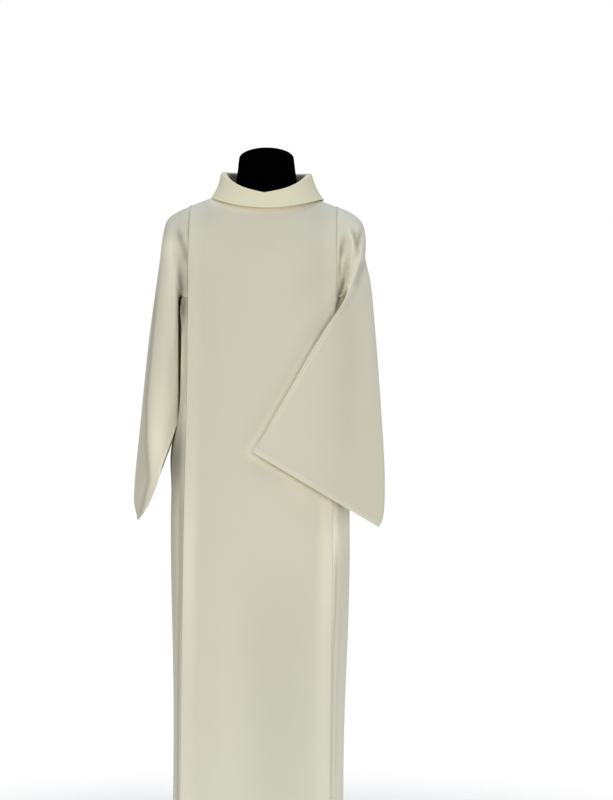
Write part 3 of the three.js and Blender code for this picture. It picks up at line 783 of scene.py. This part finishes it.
def collar_piece():
    """The collar: it stands up inside the neckline, folds over and falls outside."""
    angle = -np.linspace(0, 1, COLLAR_AROUND + 1) * 2 * math.pi
    east, north = np.cos(angle), np.sin(angle)
    east[-1], north[-1] = east[0], north[0]
    ahead = north < 0
    behind = np.maximum(north, 0)
    depth = np.where(ahead, FOLD["front"], FOLD["back"])
    sink = -FOLD["frontDrop"] * np.abs(np.minimum(north, 0)) ** 1.6
    dip = -FRONT_DIP * bell(east, 0.16) * ahead
    fold_z = FOLD["sideZ"] + sink + dip + FOLD["backRise"] * behind - COLLAR_SKEW * east
    fold = points(FOLD["side"] * east, depth * north, fold_z)
    outwards = points(east, north, 0)

    neck_z = np.where(
        ahead, top_edge(FRONT, NECK_HALF * east)[1], top_edge(BACK, NECK_HALF * east)[1]
    )
    neck_depth = np.where(ahead, FRONT["depth"], BACK["depth"])
    foot = points(NECK_HALF * east + SHOULDER_LEAN, neck_depth * north, neck_z - WALL / 2)
    foot -= outwards * (WALL + STAND_GAP)

    x = FALL["side"] * east + FALL_SHIFT
    drop = FALL["frontDrop"] * np.abs(np.minimum(north, 0)) ** 1.8
    front_edge = points(x, FALL["front"] * north, FALL["sideZ"] - drop - COLLAR_SKEW * east)
    back_z = FALL["sideZ"] - FALL["clear"] - FALL["backDrop"] * (1 - np.abs(east))
    back_edge = above_back(x - SHOULDER_LEAN, back_z, FALL["clear"])
    edge = np.where(ahead[:, None], front_edge, back_edge)
    other = np.where(ahead, FALL_BOW["front"], FALL_BOW["back"])
    bow = other + (FALL_BOW["side"] - other) * east**2

    wide = np.where(ahead, east**4, 1)[:, None]
    roll = FOLD_RADIUS["front"] + (FOLD_RADIUS["rest"] - FOLD_RADIUS["front"]) * wide
    rise = FOLD_RISE["front"] + (FOLD_RISE["rest"] - FOLD_RISE["front"]) * wide
    up = rise * np.array([0, 0, 1])
    fold = fold - outwards * (roll - FOLD_RADIUS["front"])
    head_in = fold - outwards * roll - up
    head_out = fold + outwards * roll - up
    rows = [foot + (head_in - foot) * s for s in crowded(COLLAR_STAND)]
    for turn in np.linspace(0, math.pi, COLLAR_FOLD + 1)[1:-1]:
        rows.append(fold - up - outwards * roll * math.cos(turn) + up * math.sin(turn))
    for s in crowded(COLLAR_FALL, (1,), reach=0.04, weight=4):
        swell = outwards * (bow * math.sin(math.pi * s))[:, None]
        rows.append(head_out + (edge - head_out) * s + swell)
    grid = np.array(rows)
    run = lengths(grid, 0)
    height = 0.5 * bell(run[-1] - run, 3)[:, None] - 0.8 * bell(east, 0.02) * ahead
    crest = run[COLLAR_STAND + COLLAR_FOLD // 2]
    # Painted highlights along the collar's lower edge and the crest of its fold.
    painted_rim_highlights = 0.6 * bell(run[-1] - run, 3)[:, None] + 1.3 * bell(run - crest, 4)[:, None]
    # Painted shade towards the collar's ends, more at the wearer's left.
    painted_light_and_shade = (0.65 + 0.3 * east) * east**4
    # The whole collar is doubled cloth; the painted highlights come on top.
    return cloth("collar_cloth", pushed(grid, height), "collar", 0.9 + painted_rim_highlights, painted_light_and_shade, ring=True)


collar = collar_piece()

# ---------------------------------------------------------------- form and stand


def form_piece():
    """The torso and neck in one skin, closed by a flat foot and a low dome."""
    foot, rim, neck = FORM["z"][[0, 1, -1]]
    z = np.concatenate([[foot, foot + 1], np.linspace(rim, neck, FORM_UP + 1)])
    dome = np.linspace(0, 0.5, DOME_UP + 1)[1:] * math.pi
    shrink = np.concatenate([np.ones_like(z), np.cos(dome)])
    z = np.concatenate([z, neck + DOME_HEIGHT * np.sin(dome)])
    angle = np.linspace(0, 2 * math.pi, FORM_AROUND + 1)
    reach = 2 / FORM_SQUARENESS
    cosine = np.sign(np.cos(angle)) * np.abs(np.cos(angle)) ** reach
    sine = np.sign(np.sin(angle)) * np.abs(np.sin(angle)) ** reach
    level = np.minimum(z, neck)[:, None]

    def at(column):
        return read(FORM, "z", column, level) * shrink[:, None]

    depth = np.where(sine < 0, at("front"), at("back"))
    shift = read(FORM, "z", "shift", level)
    grid = points(shift + at("side") * cosine, depth * sine, z[:, None])
    grid[:, -1] = grid[:, 0]
    bm = bmesh.new()
    bmesh.ops.create_grid(bm, x_segments=len(angle) - 1, y_segments=len(z) - 1, size=0.5)
    for vert, place in zip(bm.verts, grid.reshape(-1, 3)):
        vert.co = place
    bmesh.ops.remove_doubles(bm, verts=bm.verts, dist=0.001)
    bmesh.ops.holes_fill(bm, edges=[e for e in bm.edges if e.is_boundary], sides=0)
    bmesh.ops.recalc_face_normals(bm, faces=bm.faces)
    return finished("form_skin", bm, "form_cover", ["dress_form"])


BASE_RADIUS = 200
BASE_THICKNESS = 12
POLE_RADIUS = 16
SOCKET_RADIUS = 30  # of the pole's foot on the base
PLATE_RADIUS = 48  # of the pole's head under the form
FLARE_RADIUS = 24  # where the foot and the head meet the tube
METAL_ROUND = 1.0  # radius of the stand's edges


def turned(name, profile, replaced):
    """A turned part about the upright axis, from pairs of radius and height. It is closed
    by a fan of triangles at each end, where the radius is 0."""
    bm = bmesh.new()
    turns = np.arange(TURNED_AROUND) * 2 * math.pi / TURNED_AROUND
    rings = []
    for radius, z in profile:
        ring = turns if radius > 0 else turns[:1]
        places = [(radius * math.cos(turn), radius * math.sin(turn), z) for turn in ring]
        rings.append([bm.verts.new(place) for place in places])
    for ring, following in zip(rings[:-1], rings[1:]):
        for i in range(TURNED_AROUND):
            near = [verts[i % len(verts)] for verts in (ring, following)]
            far = [verts[(i + 1) % len(verts)] for verts in (following, ring)]
            bm.faces.new(list(dict.fromkeys(near + far)))
    bmesh.ops.recalc_face_normals(bm, faces=bm.faces)
    piece = finished(name, bm, "stand_metal", replaced)
    edge = piece.modifiers.new("Eased edges", "BEVEL")
    edge.width = METAL_ROUND * MM
    edge.segments = 3
    edge.limit_method = "ANGLE"
    edge.angle_limit = math.radians(30)
    return piece


def pole_piece():
    foot, head = BASE_THICKNESS + SEAM, FORM["z"][0] - SEAM
    profile = [
        (0, foot),
        (SOCKET_RADIUS, foot),
        (SOCKET_RADIUS, foot + 28),
        (FLARE_RADIUS, foot + 34),
        (POLE_RADIUS, foot + 34),
        (POLE_RADIUS, head - 25),
        (FLARE_RADIUS, head - 5),
        (PLATE_RADIUS, head - 5),
        (PLATE_RADIUS, head),
        (0, head),
    ]
    return turned("pole", profile, ["stand_pole"])


def base_piece():
    profile = [
        (0, 0),
        (BASE_RADIUS - 2, 0),
        (BASE_RADIUS, 2),
        (BASE_RADIUS, BASE_THICKNESS - 4),
        (BASE_RADIUS - 4, BASE_THICKNESS),
        (0, BASE_THICKNESS),
    ]
    return turned("base_plate", profile, ["stand_base"])


form = form_piece()
pole = pole_piece()
base = base_piece()

# ---------------------------------------------------------------- materials


class Socket:
    """A shader value that Python expressions can be written with."""

    def __init__(self, tree, link):
        self.tree, self.link = tree, link

    def _maths(self, operation, a, b=None):
        node = self.tree.nodes.new("ShaderNodeMath")
        node.operation = operation
        for socket, value in zip(node.inputs, (a, b)):
            put(self.tree, socket, value)
        return Socket(self.tree, node.outputs[0])

    def __add__(self, other):
        return self._maths("ADD", self, other)

    def __sub__(self, other):
        return self._maths("SUBTRACT", self, other)

    def __mul__(self, other):
        return self._maths("MULTIPLY", self, other)

    def sine(self):
        return self._maths("SINE", self)


def put(tree, socket, value):
    """Link a socket to a shader value, or give it a plain one."""
    if isinstance(value, Socket):
        tree.links.new(value.link, socket)
    elif value is not None:
        socket.default_value = value


class Finish:
    """A material, its shader and its nodes."""

    def __init__(self, name, **values):
        self.material = bpy.data.materials.new(name)
        self.material.use_nodes = True
        self.tree = self.material.node_tree
        self.shader = self.tree.nodes["Principled BSDF"]
        self.set(**values)

    def set(self, **values):
        for name, value in values.items():
            socket = name.replace("_", " ").title().replace("Ior", "IOR")
            put(self.tree, self.shader.inputs[socket], value)

    def node(self, kind, settings=None, inputs=None, output=0):
        node = self.tree.nodes.new("ShaderNode" + kind)
        for name, value in (settings or {}).items():
            setattr(node, name, value)
        for name, value in (inputs or {}).items():
            put(self.tree, node.inputs[name], value)
        return Socket(self.tree, node.outputs[output])

    def on(self, *pieces):
        for piece in pieces:
            piece.data.materials.clear()
            piece.data.materials.append(self.material)


def linear(red, green, blue):
    """A colour given as 0 to 255 display values, as a linear one."""
    share = [v / 255 for v in (red, green, blue)]
    parts = [v / 12.92 if v <= 0.04045 else ((v + 0.055) / 1.055) ** 2.4 for v in share]
    return (*parts, 1.0)


DOUBLED_AND_HIGHLIGHT_GAIN, PAINTED_SHADE_LOSS = 0.12, 0.12  # how much lighter doubled cloth and painted highlights make the colour, and how much darker each unit of painted shade (lighter below 0)
THREAD = 0.0012  # pitch of the threads in metres
DRIFT_SCALE, NAP_SCALE = 11.0, 900.0  # of the cloth's unevenness and of its surface
RELIEF = 0.00012  # depth of the weave in metres


def cloth_finish(name, dark, light):
    """Cloth of a colour that drifts between two, lighter where it is doubled or a highlight is
    painted, darker where shade is painted and lighter where light is painted, with a fine weave."""
    finish = Finish(name, roughness=0.88, sheen_weight=0.12, sheen_roughness=0.5)
    place = finish.node("UVMap", {"uv_map": "cut"})
    drift = finish.node("TexNoise", None, {"Vector": place, "Scale": DRIFT_SCALE, "Detail": 3.0})
    colour = finish.node("Mix", {"data_type": "RGBA"}, {0: drift, 6: dark, 7: light}, output=2)
    doubled_and_highlight = finish.node("Attribute", {"attribute_name": "doubled_and_highlight"}, output=2)
    painted_light_and_shade = finish.node("Attribute", {"attribute_name": "painted_light_and_shade"}, output=2)
    # Seam allowances, hems and painted highlights lighten the colour; painted shade darkens it,
    # painted light lightens it.
    gain = doubled_and_highlight * DOUBLED_AND_HIGHLIGHT_GAIN - painted_light_and_shade * PAINTED_SHADE_LOSS + 1.0
    along, across = (finish.node("SeparateXYZ", None, {0: place}, output=axis) for axis in (0, 1))
    threads = 2 * math.pi / THREAD
    weave = (along * threads).sine() * (across * threads).sine()
    nap = finish.node("TexNoise", None, {"Vector": place, "Scale": NAP_SCALE, "Detail": 2.0})
    relief = {"Height": weave * 0.5 + nap, "Strength": 0.25, "Distance": RELIEF}
    finish.set(
        base_color=finish.node("VectorMath", {"operation": "SCALE"}, {0: colour, "Scale": gain}),
        normal=finish.node("Bump", None, relief),
    )
    return finish


ivory = cloth_finish("Ivory vestment cloth", linear(222, 217, 199), linear(226, 221, 204))
ivory.on(front, back, side_right, side_left, sleeve_right, sleeve_left)
stiffened = cloth_finish("Stiffened ivory cloth", linear(225, 217, 188), linear(229, 221, 193))
stiffened.on(collar)

jersey = Finish("Black jersey", base_color=linear(2, 2, 2), roughness=1.0, specular_ior_level=0.0)
jersey.on(form)
enamel = Finish("Black enamel", base_color=linear(24, 24, 26), roughness=0.42)
enamel.on(pole, base)

# ---------------------------------------------------------------- studio

FLOOR_RADIUS = 1900
FLOOR_FADE = (0.45, 1.5)  # metres from the middle where the floor begins and ends to fade
SKY_TINT = (0.836, 0.971, 1.114, 1)  # the cool light from above
GROUND_TINT = (0.283, 0.250, 0.230, 1)  # the warm light from below the horizon
LAMP_SIZE = 1.3
LAMP_DISTANCE = 3.5
LAMP_Z = 1.12
LAMP_AIM = Vector((0, 0, 1.0))
LENS = 94.2
CAMERA_DISTANCE = 4.5
CAMERA_AZIMUTH = 3.0
CAMERA_Z = 1.048
FRAME_SHIFT = 0.05  # sets the garment left of the middle


def studio_floor():
    """A pale round floor that fades out into the white backdrop."""
    bm = bmesh.new()
    bmesh.ops.create_circle(bm, cap_ends=True, segments=96, radius=FLOOR_RADIUS)
    floor = finished("floor", bm, smooth=False)
    pale = Finish("Pale floor", base_color=linear(236, 235, 232), roughness=0.95)
    place = pale.node("TexCoord", output=3)
    reach = pale.node("VectorMath", {"operation": "LENGTH"}, {0: place}, output=1)
    begin, finish = FLOOR_FADE
    fade = {"Value": reach, "From Min": begin, "From Max": finish, "To Min": 1.0, "To Max": 0.0}
    pale.set(alpha=pale.node("MapRange", {"interpolation_type": "SMOOTHSTEP"}, fade))
    pale.on(floor)


def studio_world():
    """White where the camera looks past the garment. It lights the scene with a cool sky
    above and a warm ground below."""
    world = bpy.data.worlds.new("Studio")
    world.use_nodes = True
    sky = world.node_tree
    backdrop = sky.nodes["Background"]
    backdrop.inputs["Color"].default_value = (1, 1, 1, 1)
    fill = sky.nodes.new("ShaderNodeBackground")
    fill.inputs["Strength"].default_value = 1.0
    way = sky.nodes.new("ShaderNodeTexCoord")
    height = sky.nodes.new("ShaderNodeSeparateXYZ")
    above = sky.nodes.new("ShaderNodeMapRange")
    tint = sky.nodes.new("ShaderNodeMix")
    tint.data_type = "RGBA"
    put(sky, height.inputs[0], Socket(sky, way.outputs["Generated"]))
    put(sky, above.inputs["Value"], Socket(sky, height.outputs["Z"]))
    put(sky, tint.inputs[0], Socket(sky, above.outputs[0]))
    put(sky, tint.inputs[6], GROUND_TINT)
    put(sky, tint.inputs[7], SKY_TINT)
    put(sky, fill.inputs["Color"], Socket(sky, tint.outputs[2]))
    kind = sky.nodes.new("ShaderNodeLightPath")
    choice = sky.nodes.new("ShaderNodeMixShader")
    sky.links.new(kind.outputs["Is Camera Ray"], choice.inputs[0])
    sky.links.new(fill.outputs[0], choice.inputs[1])
    sky.links.new(backdrop.outputs[0], choice.inputs[2])
    sky.links.new(choice.outputs[0], sky.nodes["World Output"].inputs["Surface"])
    return world


def around_garment(azimuth, distance, z):
    """A place at a level angle from the front, in degrees towards the wearer's left."""
    angle = math.radians(azimuth)
    return Vector((distance * math.sin(angle), -distance * math.cos(angle), z))


def softbox(name, azimuth, power, tint):
    """A square softbox at a level angle from the front, aimed at the garment."""
    light = bpy.data.lights.new(name, "AREA")
    light.shape = "RECTANGLE"
    light.size = light.size_y = LAMP_SIZE
    light.energy = power
    light.color = tint
    place = around_garment(azimuth, LAMP_DISTANCE, LAMP_Z)
    holder = bpy.data.objects.new(name, light)
    holder.location = place
    holder.rotation_euler = (LAMP_AIM - place).to_track_quat("-Z", "Y").to_euler()
    bpy.context.scene.collection.objects.link(holder)


def studio_camera():
    camera = bpy.data.cameras.new("camera")
    camera.lens = LENS
    camera.sensor_width = 36
    camera.shift_x = FRAME_SHIFT
    holder = bpy.data.objects.new("camera", camera)
    holder.location = around_garment(CAMERA_AZIMUTH, CAMERA_DISTANCE, CAMERA_Z)
    holder.rotation_euler = (math.pi / 2, 0, math.radians(CAMERA_AZIMUTH))
    bpy.context.scene.collection.objects.link(holder)
    return holder


scene = bpy.context.scene
studio_floor()
scene.world = studio_world()
softbox("left softbox", -45, 28.0, (1.0, 0.95, 0.76))
softbox("front softbox", 25, 29.0, (0.97, 1.0, 0.94))
softbox("right softbox", 70, 13.0, (1.0, 0.93, 0.75))
scene.camera = studio_camera()
scene.view_settings.view_transform = "Standard"
scene.view_settings.look = "None"
